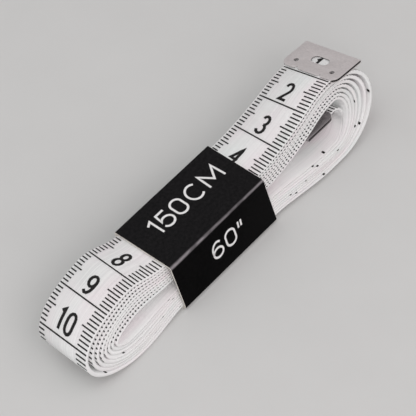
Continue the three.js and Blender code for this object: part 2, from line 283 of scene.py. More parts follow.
def top_height(x, turn):
    if x > 0:
        rise = lerp(waist_top(turn), far_top(turn), smoothstep(x, SLEEVE_HALF, FAR_RISE))
        return rise + OUTER_END_LIFT * last_run(x, turn)
    return lerp(waist_top(turn), near_top(turn), smoothstep(-x, SLEEVE_HALF, -NEAR_CREST))


def outer_end_fall(run):
    return OUTER_END_FALL * (math.hypot(run, OUTER_END_BEND) - OUTER_END_BEND)


def loop_arc(crest, foot, tip, top, bottom, angle):
    middle = (crest + foot) / 2
    x = middle + (crest - foot) / 2 * math.sin(angle) + (tip - middle) * math.cos(angle)
    z = (top + bottom) / 2 + (top - bottom) / 2 * math.sin(angle)
    return x, z


SLEEVE_HEIGHT = waist_top(TURNS) + SOLID_THICKNESS / 2 + SLEEVE_CLEARANCE + CARD
STACK_HALF = (waist_top(TURNS) - waist_bottom(TURNS)) / 2
LEAN_STRETCH = math.hypot(1, SLEEVE_LEAN)
SLEEVE_OUTER = (
    TAPE_WIDTH / 2
    + (STACK_LEAN - SLEEVE_LEAN) * STACK_HALF
    + (SLEEVE_CLEARANCE + CARD) * LEAN_STRETCH
)


def sleeve_front(z):
    return SLEEVE_LEAN * (z - MIDDLE) - SLEEVE_OUTER


def sleeve_back(z):
    return SLEEVE_LEAN * (z - MIDDLE) + SLEEVE_OUTER


# The hank's own origin, under the middle of its sleeve, in the part's frame
sleeve_low, sleeve_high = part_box("card_sleeve")
resting_face = next(m for m in frame["record"]["mounts"] if m["name"] == "resting_face")
resting_middle = (sleeve_front(0) + LAP_SETBACK + sleeve_back(0) - FOLD_RADIUS) / 2
HANK = Vector(
    ((sleeve_low.x + sleeve_high.x) / 2, resting_face["pos_m"][1] - resting_middle, 0)
)

# The camera, at the photograph's viewing angle
VIEW_TURN = math.radians(50.93)
VIEW_FALL = math.radians(50.82)
VIEW_DISTANCE = 487.5 * MM
VIEW_CENTRE = Vector((0, 0, 11.33 * MM))
VIEW_MOVE_RIGHT = 2.463 * MM
VIEW_MOVE_UP = 0.683 * MM
LENS = 188.4  # millimetres, as the sensor's width is
SENSOR_WIDTH = 36

camera_data = bpy.data.cameras.new("camera")
camera_data.lens = LENS
camera_data.sensor_width = SENSOR_WIDTH
camera_data.clip_start = 0.01
camera_data.clip_end = 10
camera = bpy.data.objects.new("camera", camera_data)
bpy.context.scene.collection.objects.link(camera)
bpy.context.scene.camera = camera
right = Vector((math.cos(VIEW_TURN), -math.sin(VIEW_TURN), 0))
level = Vector((math.sin(VIEW_TURN), math.cos(VIEW_TURN), 0))
forward = level * math.cos(VIEW_FALL) - Vector((0, 0, math.sin(VIEW_FALL)))
upward = right.cross(forward)
camera_place = (
    HANK + VIEW_CENTRE + right * VIEW_MOVE_RIGHT + upward * VIEW_MOVE_UP - forward * VIEW_DISTANCE
)
camera.matrix_world = Matrix.Translation(camera_place) @ Matrix(
    (right, upward, -forward)
).transposed().to_4x4()


# Small helpers for modelling by operators


def deselect():
    if bpy.context.object and bpy.context.object.mode != "OBJECT":
        bpy.ops.object.mode_set(mode="OBJECT")
    bpy.ops.object.select_all(action="DESELECT")


def begun(name, *materials):
    """Names the primitive just added, gives it its materials and opens it for editing."""
    piece = bpy.context.object
    piece.name = name
    piece.data.name = name
    for material in materials:
        piece.data.materials.append(material)
    bpy.ops.object.mode_set(mode="EDIT")
    return piece


def face_up(piece):
    """Turns the mesh being edited so that its topmost face looks up, with all of it selected."""
    bpy.ops.mesh.select_all(action="SELECT")
    mesh = bmesh.from_edit_mesh(piece.data)
    mesh.normal_update()
    top = max(mesh.faces, key=lambda face: face.calc_center_median().z)
    if top.normal.z < 0:
        bpy.ops.mesh.flip_normals()


def select_parts(kind, test):
    """Selects the verts, edges or faces of the mesh being edited that pass the test."""
    bpy.ops.mesh.select_mode(type={"verts": "VERT", "edges": "EDGE", "faces": "FACE"}[kind])
    bpy.ops.mesh.select_all(action="DESELECT")
    mesh = bmesh.from_edit_mesh(bpy.context.object.data)
    for part in getattr(mesh, kind):
        if test(part):
            part.select_set(True)
    bmesh.update_edit_mesh(bpy.context.object.data)


def edge_at(axis, place):
    """A test for edges that lie wholly at one value of x, y or z."""
    return lambda edge: all(abs(vert.co[axis] - place) < SAME for vert in edge.verts)


def apply_modifier(piece, kind, **settings):
    modifier = piece.modifiers.new(kind.lower(), kind)
    for key, value in settings.items():
        setattr(modifier, key, value)
    bpy.context.view_layer.objects.active = piece
    bpy.ops.object.modifier_apply(modifier=modifier.name)


def extrude_to(step):
    bpy.ops.mesh.extrude_region_move(TRANSFORM_OT_translate={"value": step})


def smooth(piece, angle):
    deselect()
    piece.select_set(True)
    bpy.context.view_layer.objects.active = piece
    bpy.ops.object.shade_smooth_by_angle(angle=math.radians(angle))


def mesh_piece(name, points, faces):
    mesh = bpy.data.meshes.new(name)
    mesh.from_pydata(points, [], faces)
    mesh.update()
    piece = bpy.data.objects.new(name, mesh)
    bpy.context.scene.collection.objects.link(piece)
    return piece


# The wound tape

FAR_STEPS = 56
NEAR_STEPS = 72
BOTTOM_STEPS = 36
TOP_STEPS = 64
END_STEPS = 10
TURN_STEPS = FAR_STEPS + BOTTOM_STEPS + NEAR_STEPS + TOP_STEPS
CRIMP_STEPS = (END_STEPS - 2, END_STEPS + 4)
LOFT_SOFTENING = 12


def wound_spots():
    """Points along the tape from its inner end: x, z, how far it twists, drift to the front, turn."""
    spots = []
    for i in range(END_STEPS):
        x = far_crest(0) - END_RUN * (1 - i / END_STEPS)
        tilt = 1 / past_sleeve(x, FAR_TWIST_RUN)
        spots.append((x, far_top(0) - INNER_END_DROP, tilt, INNER_END_DRIFT, 0.0))
    for loop in range(TURNS):
        for i in range(FAR_STEPS):
            part = i / FAR_STEPS
            turn = loop + part / 4
            apart = 1 - smoothstep(part, INNER_END_REJOIN, 1) if loop == 0 else 0.0
            x, z = loop_arc(
                far_crest(turn), far_foot(turn), far_tip(turn) - INNER_END_PULL * apart,
                far_top(turn) - INNER_END_DROP * apart, bottom_height(far_foot(turn), turn),
                math.pi * (0.5 - part),
            )
            tilt = 1 - smoothstep(part, 0, FAR_TWIST_END)
            spots.append((x, z, tilt, INNER_END_DRIFT * apart, turn))
        for i in range(BOTTOM_STEPS):
            part = i / BOTTOM_STEPS
            turn = loop + (1 + part) / 4
            x = lerp(far_foot(loop + 0.25), NEAR_CREST, part)
            spots.append((x, bottom_height(x, turn), 0.0, 0.0, turn))
        for i in range(NEAR_STEPS):
            part = i / NEAR_STEPS
            turn = loop + (2 + part) / 4
            x, z = loop_arc(
                NEAR_CREST, NEAR_CREST, near_tip(turn), near_top(turn),
                bottom_height(NEAR_CREST, turn), math.pi * (part - 0.5),
            )
            spots.append((x, z, smoothstep(part, 0, NEAR_TWIST_START), 0.0, turn))
        top_end = far_crest(loop + 1) if loop + 1 < TURNS else FAR_RISE
        for i in range(TOP_STEPS):
            part = i / TOP_STEPS
            turn = loop + (3 + part) / 4
            x = lerp(NEAR_CREST, top_end, part)
            spots.append((x, top_height(x, turn), 1.0, OUTER_END_DRIFT * last_run(x, turn), turn))
    outer_top = far_top(TURNS) + OUTER_END_LIFT
    for i in range(END_STEPS + 1):
        run = END_RUN * i / END_STEPS
        z = outer_top - outer_end_fall(run)
        spots.append((FAR_RISE + run, z, 1.0, OUTER_END_DRIFT, float(TURNS)))
    return spots


def laid_ring(x, z, tilt, drift, turn):
    """Middle of the tape at one spot, and the way to its back edge."""
    shift = (FAR_SHIFT if x > 0 else NEAR_SHIFT) * past_sleeve(x, SHIFT_RUN)
    free = smoothstep(turn, *WANDER_RISE) * (1 - smoothstep(turn, *WANDER_FALL))
    wander = TURN_WANDER * math.sin(WANDER_RATE * turn) * past_sleeve(x, SHIFT_RUN) * free
    if x > 0:
        angle = FAR_TWIST * tilt * past_sleeve(x, FAR_TWIST_RUN)
    else:
        angle = -NEAR_TWIST * tilt * past_sleeve(x, NEAR_RUN)
    middle = Vector((x, STACK_LEAN * (z - MIDDLE) - shift - drift + wander, z)) + HANK
    if x < 0:
        middle += NEAR_SETTLE * past_sleeve(x, NEAR_RUN) * smoothstep(z, SETTLE_LOW, SETTLE_HIGH)
    return middle, Vector((0, math.cos(angle), -math.sin(angle)))


rings = [laid_ring(*spot) for spot in wound_spots()]
middles = [ring[0] for ring in rings]
acrosses = [ring[1] for ring in rings]
lengths = [0.0]
for before, after in zip(middles, middles[1:]):
    lengths.append(lengths[-1] + (after - before).length)
TAPE_LENGTH = lengths[-1]
outwards = []
for index, across in enumerate(acrosses):
    ahead = middles[min(index + 1, len(middles) - 1)] - middles[max(index - 1, 0)]
    outwards.append(ahead.cross(across).normalized())


def cloth_lofts():
    """Half the cloth's thickness at each ring: puffed where the turns spread, thin in the clips."""
    lofts = []
    for index, (middle, outward) in enumerate(zip(middles, outwards)):
        nearby = index + TURN_STEPS if index + TURN_STEPS < len(middles) else index - TURN_STEPS
        spare = abs((middles[nearby] - middle).dot(outward)) - PITCH
        held = smoothstep(index, END_STEPS, END_STEPS + FAR_STEPS)
        held *= 1 - smoothstep(index, len(middles) - TOP_STEPS, len(middles) - END_STEPS)
        lofts.append(held * min(CLOTH_LOFT_MOST, CLOTH_LOFT * max(0.0, spare)))
    softened = []
    for index in range(len(lofts)):
        nearby = lofts[max(0, index - LOFT_SOFTENING):index + LOFT_SOFTENING + 1]
        from_end = min(index, len(lofts) - 1 - index)
        flat = lerp(CRIMPED_THICKNESS, CLOTH_THICKNESS, smoothstep(from_end, *CRIMP_STEPS))
        softened.append((flat + sum(nearby) / len(nearby)) / 2)
    return softened


half_thicks = cloth_lofts()


def on_tape(length, across, side, lift):
    """A point by its length from the inner end, its place across, and its lift over one face."""
    index = min(max(bisect.bisect_right(lengths, length) - 1, 0), len(lengths) - 2)
    part = (length - lengths[index]) / (lengths[index + 1] - lengths[index])
    middle = middles[index].lerp(middles[index + 1], part)
    way = acrosses[index].lerp(acrosses[index + 1], part)
    out = outwards[index].lerp(outwards[index + 1], part)
    rise = lerp(half_thicks[index], half_thicks[index + 1], part) + lift
    return middle + way * across + out * (side * rise)


def weave_tape():
    half, inset = TAPE_WIDTH / 2, TAPE_WIDTH / 2 - CLOTH_EDGE
    section = [
        (-inset, 1, 0), (0, 1, 0), (inset, 1, 0), (half, 1, -CLOTH_EDGE), (half, -1, -CLOTH_EDGE),
        (inset, -1, 0), (0, -1, 0), (-inset, -1, 0), (-half, -1, -CLOTH_EDGE), (-half, 1, -CLOTH_EDGE),
    ]
    count = len(section)
    points = [
        middle + across * v + out * (side * (thick + lift))
        for middle, across, out, thick in zip(middles, acrosses, outwards, half_thicks)
        for v, side, lift in section
    ]
    faces = [tuple(range(count))]
    for ring in range(len(middles) - 1):
        for side in range(count):
            after = (side + 1) % count
            start = ring * count
            faces.append((start + side, start + count + side, start + count + after, start + after))
    last = (len(middles) - 1) * count
    faces.append(tuple(last + side for side in reversed(range(count))))
    tape = mesh_piece("tape_cloth", points, faces)
    weave = tape.data.uv_layers.new(name="weave")
    for loop in tape.data.loops:
        ring, side = divmod(loop.vertex_index, count)
        weave.data[loop.index].uv = (lengths[ring] / TAPE_WIDTH, section[side][0] / TAPE_WIDTH)
    smooth(tape, 50)
    return tape


# The print on the tape


class Ink:
    """Gathers flat blocks of ink that lie on the tape, and makes them one piece."""

    def __init__(self, side):
        self.side = side
        self.points = []
        self.faces = []

    def lay(self, shape, faces):
        start = len(self.points)
        for length, across, top in shape:
            lift = INK_RISE if top else -INK_ROOT
            self.points.append(on_tape(length, across, self.side, lift))
        self.faces += [tuple(start + corner for corner in face) for face in faces]

    def stroke(self, length, width, low, high):
        corners = [
            (length - width / 2, low), (length + width / 2, low),
            (length + width / 2, high), (length - width / 2, high),
        ]
        shape = [(*corner, False) for corner in corners] + [(*corner, True) for corner in corners]
        faces = [
            (3, 2, 1, 0), (4, 5, 6, 7), (0, 1, 5, 4), (1, 2, 6, 5), (2, 3, 7, 6), (3, 0, 4, 7),
        ]
        if self.side < 0:
            faces = [face[::-1] for face in faces]
        self.lay(shape, faces)

    def piece(self, name):
        return mesh_piece(name, self.points, self.faces)


# Lines of pen for the figures and letters, in a box one wide and one tall: runs of points
# (across, up), or an arc of an ellipse (centre, half sizes, first and last angle)
GLYPHS = {
    "0": [[(0.5, 0.7, 0.5, 0.3, 180, 0), (0.5, 0.3, 0.5, 0.3, 0, -180), (0, 0.7)]],
    "1": [[(0, 0.83), (1, 1), (1, 0)]],
    "2": [[(0.5, 0.71, 0.5, 0.29, 165, -35), (0, 0), (1, 0)]],
    "3": [[(0.48, 0.75, 0.46, 0.25, 160, -85)], [(0.48, 0.26, 0.52, 0.26, 85, -160)]],
    "4": [[(0.74, 0), (0.74, 1), (0, 0.28), (1, 0.28)]],
    "5": [[(0.92, 1), (0.15, 1), (0.05, 0.5), (0.47, 0.32, 0.53, 0.32, 125, -160)]],
    "6": [[(0.5, 0.3, 0.5, 0.3, 180, -180)], [(0, 0.3), (0.56, 0.5, 0.56, 0.5, 170, 50)]],
    "7": [[(0, 1), (1, 1), (0.36, 0)]],
    "8": [[(0.5, 0.76, 0.44, 0.24, 270, -90)], [(0.5, 0.26, 0.5, 0.26, 90, -270)]],
    "9": [[(0.5, 0.7, 0.5, 0.3, 0, -360)], [(1, 0.7), (0.44, 0.5, 0.56, 0.5, -10, -130)]],
    "C": [[(0.5, 0.5, 0.5, 0.5, 48, 312)]],
    "M": [[(0, 0), (0.04, 1), (0.5, 0.25), (0.96, 1), (1, 0)]],
    '"': [[(0.15, 1), (0, 0.6)], [(1, 1), (0.85, 0.6)]],
}


def pen_lines(glyph, width, height, turn_step, longest):
    """The glyph's lines in metres, with arcs cut at the turn step and long straights divided."""
    lines = []
    for run in GLYPHS[glyph]:
        corners = []
        for spot in run:
            if len(spot) == 2:
                corners.append(Vector((spot[0] * width, spot[1] * height)))
                continue
            over, up, wide, tall, first, last = spot
            cuts = max(2, round(abs(last - first) / turn_step))
            for cut in range(cuts + 1):
                angle = math.radians(lerp(first, last, cut / cuts))
                corners.append(Vector((
                    (over + wide * math.cos(angle)) * width, (up + tall * math.sin(angle)) * height,
                )))
        line = corners[:1]
        for corner in corners[1:]:
            gap = (corner - line[-1]).length
            start = line[-1]
            for cut in range(1, math.ceil(gap / longest) + 1):
                line.append(start.lerp(corner, cut / math.ceil(gap / longest)))
        lines.append(line)
    return lines


def ink_strip(line, stroke):
    """A flat closed slab along a line: places across and up, top or bottom, and faces."""
    closed = (line[0] - line[-1]).length < SAME
    if closed:
        line = line[:-1]
    count = len(line)
    shape = []
    for index, here in enumerate(line):
        before = line[index - 1] if closed or index else here
        after = line[(index + 1) % count] if closed or index + 1 < count else here
        ways = [way.normalized() for way in (here - before, after - here) if way.length > 0]
        way = (ways[0] + ways[-1]).normalized()
        reach = stroke / 2 / max(MITRE_LIMIT, way.dot(ways[0]))
        side = Vector((-way.y, way.x)) * reach
        left, right = here + side, here - side
        for spot, top in ((left, True), (right, True), (right, False), (left, False)):
            shape.append((spot.x, spot.y, top))
    faces = []
    for index in range(count if closed else count - 1):
        start, after = 4 * index, 4 * ((index + 1) % count)
        for corner in range(4):
            nearby = (corner + 1) % 4
            faces.append((start + corner, start + nearby, after + nearby, after + corner))
    if not closed:
        last = 4 * (count - 1)
        faces.append((3, 2, 1, 0))
        faces.append((last, last + 1, last + 2, last + 3))
    return shape, faces


def figure_width(figure):
    return ONE_WIDTH if figure == "1" else FIGURE_WIDTH


FIGURES = {
    figure: [
        ink_strip(line, FIGURE_STROKE)
        for line in pen_lines(
            figure, figure_width(figure) - FIGURE_STROKE, FIGURE_HEIGHT - FIGURE_STROKE,
            FIGURE_TURN_STEP, FIGURE_CUT,
        )
    ]
    for figure in "0123456789"
}


def print_number(ink, number, foot, way, centre):
    """Sets a number with its foot at one length along the tape and its head the given way."""
    room = FIGURE_SPACE if len(number) < 3 else CLOSE_SPACE
    left = centre + (sum(map(figure_width, number)) + room * (len(number) - 1)) / 2
    inset = FIGURE_STROKE / 2
    for figure in number:
        for shape, faces in FIGURES[figure]:
            placed = [
                (foot + way * (up + inset), left - over - inset, top) for over, up, top in shape
            ]
            ink.lay(placed, faces)
        left -= figure_width(figure) + room


def print_edges(length):
    """Front and back limits of the print, which strays a little to the sides."""
    over = (on_tape(length, 0, 1, 0).x - HANK.x) / PRINT_WAVE
    stray = -PRINT_WANDER * max(-1.0, min(1.0, over))
    half = TAPE_WIDTH / 2 - PRINT_MARGIN
    return stray - half, stray + half


def print_centimetres():
    ink = Ink(1)
    zero = TAPE_LENGTH - SCALE_START
    for tick in range(1, int(TAPE_LENGTH / MM)):
        length = zero - tick * MM
        front, back = print_edges(length)
        if tick % 10 == 0:
            ink.stroke(length, LINE_WIDTH, front, back)
            gap = FIRST_FIGURE_GAP if tick == 10 else FIGURE_GAP
            print_number(ink, str(tick // 10), length + gap, 1, FIGURE_CENTRE)
            continue
        five = tick % 5 == 0
        ink.stroke(length, TICK_WIDTH, front, front + (FRONT_TICK_FIVE if five else FRONT_TICK))
        ink.stroke(length, TICK_WIDTH, back - (BACK_TICK_FIVE if five else BACK_TICK), back)
    return ink.piece("centimetre_print")


def print_inches():
    """The reverse: eighths of an inch along the back edge, and a dot at the front for each inch."""
    ink = Ink(-1)
    eighth = INCH / 8
    for tick in range(1, int(TAPE_LENGTH / eighth)):
        length = tick * eighth
        front, back = print_edges(length)
        if tick % 8 == 0:
            ink.stroke(length, LINE_WIDTH, back - INCH_LINE, back)
            ink.stroke(length, INCH_DOT_WIDTH, front, front + INCH_DOT)
            print_number(ink, str(tick // 8), length - FIGURE_GAP, -1, INCH_CENTRE)
            continue
        ink.stroke(length, TICK_WIDTH, back - (BACK_TICK_FIVE if tick % 4 == 0 else BACK_TICK), back)
    return ink.piece("inch_print")


# The card sleeve


def fold_sleeve(face, core):
    """A strip of card folded round the hank, with its glue flap under the lap."""
    lap_edge = sleeve_front(0) + LAP_SETBACK
    flap_height = BOARD + GLUE_LINE
    corners = [
        Vector((0, sleeve_back(0), 0)),
        Vector((0, sleeve_back(SLEEVE_HEIGHT), SLEEVE_HEIGHT)),
        Vector((0, sleeve_front(SLEEVE_HEIGHT), SLEEVE_HEIGHT)),
        Vector((0, sleeve_front(flap_height), flap_height)),
        Vector((0, sleeve_front(0) + GLUE_FLAP, flap_height)),
    ]
    deselect()
    bpy.ops.mesh.primitive_plane_add(size=2)
    sleeve = begun("sleeve_card", face, core)
    depth = (corners[0].y - lap_edge) / 2
    bpy.ops.transform.resize(value=(SLEEVE_HALF, depth, 1))
    bpy.ops.transform.translate(value=(0, lap_edge + depth, 0))
    select_parts("edges", edge_at(1, corners[0].y))
    for before, after in zip(corners, corners[1:]):
        extrude_to(after - before)
    for corner in corners[:4]:
        select_parts(
            "edges",
            lambda edge: all((vert.co.yz - corner.yz).length < SAME for vert in edge.verts),
        )
        bpy.ops.mesh.bevel(offset=FOLD_RADIUS, segments=6, affect="EDGES")
    face_up(sleeve)
    bpy.ops.transform.translate(value=HANK)
    bpy.ops.object.mode_set(mode="OBJECT")
    apply_modifier(
        sleeve, "SOLIDIFY", thickness=BOARD, offset=-1, material_offset=1, material_offset_rim=1,
    )
    apply_modifier(
        sleeve, "BEVEL", width=BOARD_EDGE, segments=2, limit_method="ANGLE",
        angle_limit=math.radians(60), material=-1,
    )
    smooth(sleeve, 40)
    return sleeve


def letter(name, words, height, place):
    """Printed words as a thin layer of ink, its foot along x and its face up before it is placed."""
    points = []
    faces = []
    for glyph, left, width in words:
        pen_width, pen_height = width - WORD_STROKE, height - WORD_STROKE
        for line in pen_lines(glyph, pen_width, pen_height, WORD_TURN_STEP, WORD_CUT):
            shape, sides = ink_strip(line, WORD_STROKE)
            start = len(points)
            for over, up, top in shape:
                lift = INK_RISE if top else -INK_ROOT
                spot = Vector((left + over + WORD_STROKE / 2, up + WORD_STROKE / 2, lift))
                points.append(place @ spot)
            faces += [tuple(start + corner for corner in side) for side in sides]
    return mesh_piece(name, points, faces)


# The end clips


def fold_clip(face, pit):
    """Sheet metal folded over, its fold at x = 0 and its slotted plate on top."""
    deselect()
    bpy.ops.mesh.primitive_plane_add(size=2)
    clip = begun("outer_clip", face, pit)
    half_length = (CLIP_LENGTH - FOLD_HALF) / 2
    bpy.ops.transform.resize(value=(half_length, CLIP_HALF_WIDTH, 1))
    bpy.ops.transform.translate(value=(-FOLD_HALF - half_length, 0, FOLD_HALF))
    select_parts("edges", edge_at(0, -FOLD_HALF))
    bpy.ops.mesh.spin(steps=10, angle=-math.pi, center=(-FOLD_HALF, 0, 0), axis=(0, 1, 0))
    extrude_to((-2 * half_length, 0, 0))
    bpy.ops.mesh.select_all(action="SELECT")
    bpy.ops.mesh.remove_doubles(threshold=SAME)
    bpy.ops.mesh.normals_make_consistent(inside=False)
    select_parts("verts", lambda vert: abs(vert.co.x + CLIP_LENGTH) < SAME)
    bpy.ops.mesh.bevel(offset=CLIP_CORNER, segments=8, affect="VERTICES")
    face_up(clip)
    bpy.ops.object.mode_set(mode="OBJECT")
    # The inner faces of the fold take the second, dark metal: painted shade between the plates
    apply_modifier(clip, "SOLIDIFY", thickness=PLATE, offset=-1, material_offset=1)
    for cutter in clip_cutters(face, pit):
        apply_modifier(
            clip, "BOOLEAN", operation="DIFFERENCE", object=cutter, solver="EXACT",
            material_mode="TRANSFER",
        )
        bpy.data.objects.remove(cutter)
    apply_modifier(
        clip, "BEVEL", width=PLATE_EDGE, segments=2, limit_method="ANGLE",
        angle_limit=math.radians(50),
    )
    smooth(clip, 35)
    return clip


def clip_cutters(face, pit):
    """The slot, the two pierced dents and the two notches of the teeth, as shapes to cut away."""
    deselect()
    bpy.ops.mesh.primitive_cube_add(size=2)
    # The slot's cut walls take the dark metal: painted shade on the plate's cut edge
    slot = begun("slot_cutter", pit)
    bpy.ops.transform.resize(value=(SLOT_WIDTH / 2, SLOT_LENGTH / 2, CUT_DEPTH / 2))
    select_parts("edges", lambda edge: abs(edge.verts[0].co.z - edge.verts[1].co.z) > SAME)
    bpy.ops.mesh.bevel(offset=SLOT_ROUNDING, segments=8, affect="EDGES")
    bpy.ops.mesh.select_all(action="SELECT")
    bpy.ops.transform.translate(value=(-SLOT_INSET, 0, FOLD_HALF))
    bpy.ops.object.mode_set(mode="OBJECT")
    yield slot
    for side in (-1, 1):
        deselect()
        bpy.ops.mesh.primitive_uv_sphere_add(segments=20, ring_count=12, radius=1)
        # The dent's cut face takes the dark metal: painted shade in the dent
        dent = begun("dent_cutter", pit)
        bpy.ops.transform.resize(value=(DENT_SIZE / 2, DENT_SIZE / 2, DENT_DEPTH))
        bpy.ops.transform.translate(value=(-DENT_INSET, side * DENT_OFFSET, FOLD_HALF))
        bpy.ops.object.mode_set(mode="OBJECT")
        yield dent
        deselect()
        bpy.ops.mesh.primitive_cylinder_add(vertices=12, radius=DENT_HOLE / 2, depth=CUT_DEPTH)
        # The hole's walls take the dark metal: painted shade in the hole
        hole = begun("hole_cutter", pit)
        bpy.ops.transform.translate(value=(-DENT_INSET, side * DENT_OFFSET, FOLD_HALF))
        bpy.ops.object.mode_set(mode="OBJECT")
        yield hole
        deselect()
        bpy.ops.mesh.primitive_plane_add(size=2)
        notch = begun("notch_cutter", face)
        select_parts("verts", lambda vert: vert.co.x > 0)
        bpy.ops.mesh.merge(type="CENTER")
        bpy.ops.mesh.select_all(action="SELECT")
        bpy.ops.transform.resize(value=(TOOTH_DEPTH, TOOTH_WIDTH, 1))
        bpy.ops.transform.translate(value=(-CLIP_LENGTH, side * TOOTH_OFFSET, TOOTH_FOOT))
        extrude_to((0, 0, TOOTH_REACH))
        bpy.ops.mesh.select_all(action="SELECT")
        bpy.ops.mesh.normals_make_consistent(inside=False)
        bpy.ops.object.mode_set(mode="OBJECT")
        yield notch


def seat_clip(clip, end, inside, up):
    """Puts a clip over the straight stretch at one end of the tape."""
    along = (middles[end] - middles[inside]).normalized()
    face = along.cross(acrosses[end]).normalized() * up
    across = face.cross(along)
    place = Matrix((along, across, face)).transposed().to_4x4()
    place.translation = middles[end] + along * CLIP_HALF_HEIGHT
    deselect()
    clip.select_set(True)
    bpy.context.view_layer.objects.active = clip
    clip.matrix_world = place
    bpy.ops.object.transform_apply(location=True, rotation=True, scale=True)


# Finishes


def new_material(name):
    material = bpy.data.materials.new(name)
    material.use_nodes = True
    return material, material.node_tree, material.node_tree.nodes["Principled BSDF"]


def add(tree, kind, **settings):
    node = tree.nodes.new(kind)
    for key, value in settings.items():
        setattr(node, key, value)
    return node


def wire(tree, source, target):
    tree.links.new(source, target)


def calc(tree, operation, *values):
    """A Math node; each value is a number or another node's output."""
    node = add(tree, "ShaderNodeMath", operation=operation)
    for socket, value in zip(node.inputs, values):
        if isinstance(value, (int, float)):
            socket.default_value = value
        else:
            wire(tree, value, socket)
    return node.outputs[0]


def stretch(tree, vector, scale):
    node = add(tree, "ShaderNodeMapping")
    node.inputs["Scale"].default_value = scale
    wire(tree, vector, node.inputs["Vector"])
    return node.outputs[0]


def noise(tree, vector, scale, detail=3, roughness=0.55):
    node = add(tree, "ShaderNodeTexNoise")
    node.inputs["Scale"].default_value = scale
    node.inputs["Detail"].default_value = detail
    node.inputs["Roughness"].default_value = roughness
    wire(tree, vector, node.inputs["Vector"])
    return node.outputs["Fac"]


def ramp(tree, value, stops):
    node = add(tree, "ShaderNodeValToRGB")
    elements = node.color_ramp.elements
    while len(elements) < len(stops):
        elements.new(0.5)
    for element, (place, color) in zip(elements, stops):
        element.position = place
        element.color = (*color, 1)
    wire(tree, value, node.inputs["Fac"])
    return node.outputs["Color"]


def blend_colors(tree, part, first, second, kind="MIX"):
    node = add(tree, "ShaderNodeMix", data_type="RGBA", blend_type=kind)
    for socket, value in ((node.inputs[0], part), (node.inputs[6], first), (node.inputs[7], second)):
        if isinstance(value, (int, float)):
            socket.default_value = value
        elif isinstance(value, tuple):
            socket.default_value = (*value, 1)
        else:
            wire(tree, value, socket)
    return node.outputs[2]


def spread(tree, value, low, high):
    """Stretches a 0 to 1 value to run from low to high."""
    node = add(tree, "ShaderNodeMapRange")
    node.inputs["To Min"].default_value = low
    node.inputs["To Max"].default_value = high
    wire(tree, value, node.inputs["Value"])
    return node.outputs[0]


def bump(tree, shader, height, strength, distance):
    node = add(tree, "ShaderNodeBump")
    node.inputs["Strength"].default_value = strength
    node.inputs["Distance"].default_value = distance
    wire(tree, height, node.inputs["Height"])
    wire(tree, node.outputs["Normal"], shader.inputs["Normal"])


def smudge_group():
    """Soft marks of handling, shared by the cloth, the card and the metal."""
    group = bpy.data.node_groups.new("handling_marks", "ShaderNodeTree")
    group.interface.new_socket("Vector", in_out="INPUT", socket_type="NodeSocketVector")
    group.interface.new_socket("Size", in_out="INPUT", socket_type="NodeSocketFloat")
    group.interface.new_socket("Mask", in_out="OUTPUT", socket_type="NodeSocketFloat")
    entry = add(group, "NodeGroupInput")
    leave = add(group, "NodeGroupOutput")
    wide = add(group, "ShaderNodeTexNoise")
    wide.inputs["Detail"].default_value = 4
    wire(group, entry.outputs["Vector"], wide.inputs["Vector"])
    wire(group, entry.outputs["Size"], wide.inputs["Scale"])
    fine = add(group, "ShaderNodeTexNoise")
    fine.inputs["Detail"].default_value = 2
    wire(group, entry.outputs["Vector"], fine.inputs["Vector"])
    wire(group, calc(group, "MULTIPLY", entry.outputs["Size"], 9.0), fine.inputs["Scale"])
    mixed = calc(group, "MULTIPLY_ADD", fine.outputs["Fac"], 0.35, wide.outputs["Fac"])
    sharp = add(group, "ShaderNodeMapRange")
    sharp.inputs["From Min"].default_value = 0.5
    sharp.inputs["From Max"].default_value = 0.85
    wire(group, mixed, sharp.inputs["Value"])
    wire(group, sharp.outputs[0], leave.inputs["Mask"])
    return group


HANDLING = smudge_group()


def handling(tree, vector, size):
    node = add(tree, "ShaderNodeGroup", node_tree=HANDLING)
    node.inputs["Size"].default_value = size
    wire(tree, vector, node.inputs["Vector"])
    return node.outputs["Mask"]


def object_coordinates(tree):
    return add(tree, "ShaderNodeTexCoord").outputs["Object"]


def coated_cloth():
    """White coated cloth: fine streaks along it, faint pink and green tints, a fine weave."""
    material, tree, shader = new_material("coated_cloth")
    weave = add(tree, "ShaderNodeUVMap", uv_map="weave").outputs["UV"]
    streaks = noise(tree, stretch(tree, weave, (0.45, 55, 1)), scale=1)
    tint = noise(tree, stretch(tree, weave, (0.9, 2.2, 1)), scale=1, detail=1)
    tinted = ramp(tree, tint, [
        (0.32, (0.895, 0.925, 0.915)), (0.5, (0.92, 0.92, 0.92)), (0.68, (0.935, 0.885, 0.905)),
    ])
    lined = ramp(tree, streaks, [(0.3, (0.86, 0.86, 0.865)), (0.62, (1.0, 1.0, 1.0))])
    streaked = blend_colors(tree, 1.0, tinted, lined, "MULTIPLY")
    marks = handling(tree, weave, size=1.4)
    color = blend_colors(
        tree, calc(tree, "MULTIPLY", marks, 0.08), streaked, (0.62, 0.60, 0.58), "MULTIPLY",
    )
    wire(tree, color, shader.inputs["Base Color"])
    wire(tree, spread(tree, streaks, 0.34, 0.52), shader.inputs["Roughness"])
    split = add(tree, "ShaderNodeSeparateXYZ")
    wire(tree, weave, split.inputs[0])
    warp = calc(tree, "SINE", calc(tree, "MULTIPLY", split.outputs["X"], THREAD_RATE))
    weft = calc(tree, "SINE", calc(tree, "MULTIPLY", split.outputs["Y"], THREAD_RATE))
    height = calc(tree, "MULTIPLY_ADD", calc(tree, "MULTIPLY", warp, weft), 0.3, streaks)
    bump(tree, shader, height, strength=0.25, distance=0.02 * MM)
    shader.inputs["Subsurface Weight"].default_value = 0.8
    shader.inputs["Subsurface Radius"].default_value = (1.0, 1.0, 1.0)
    shader.inputs["Subsurface Scale"].default_value = 0.5 * MM
    return material


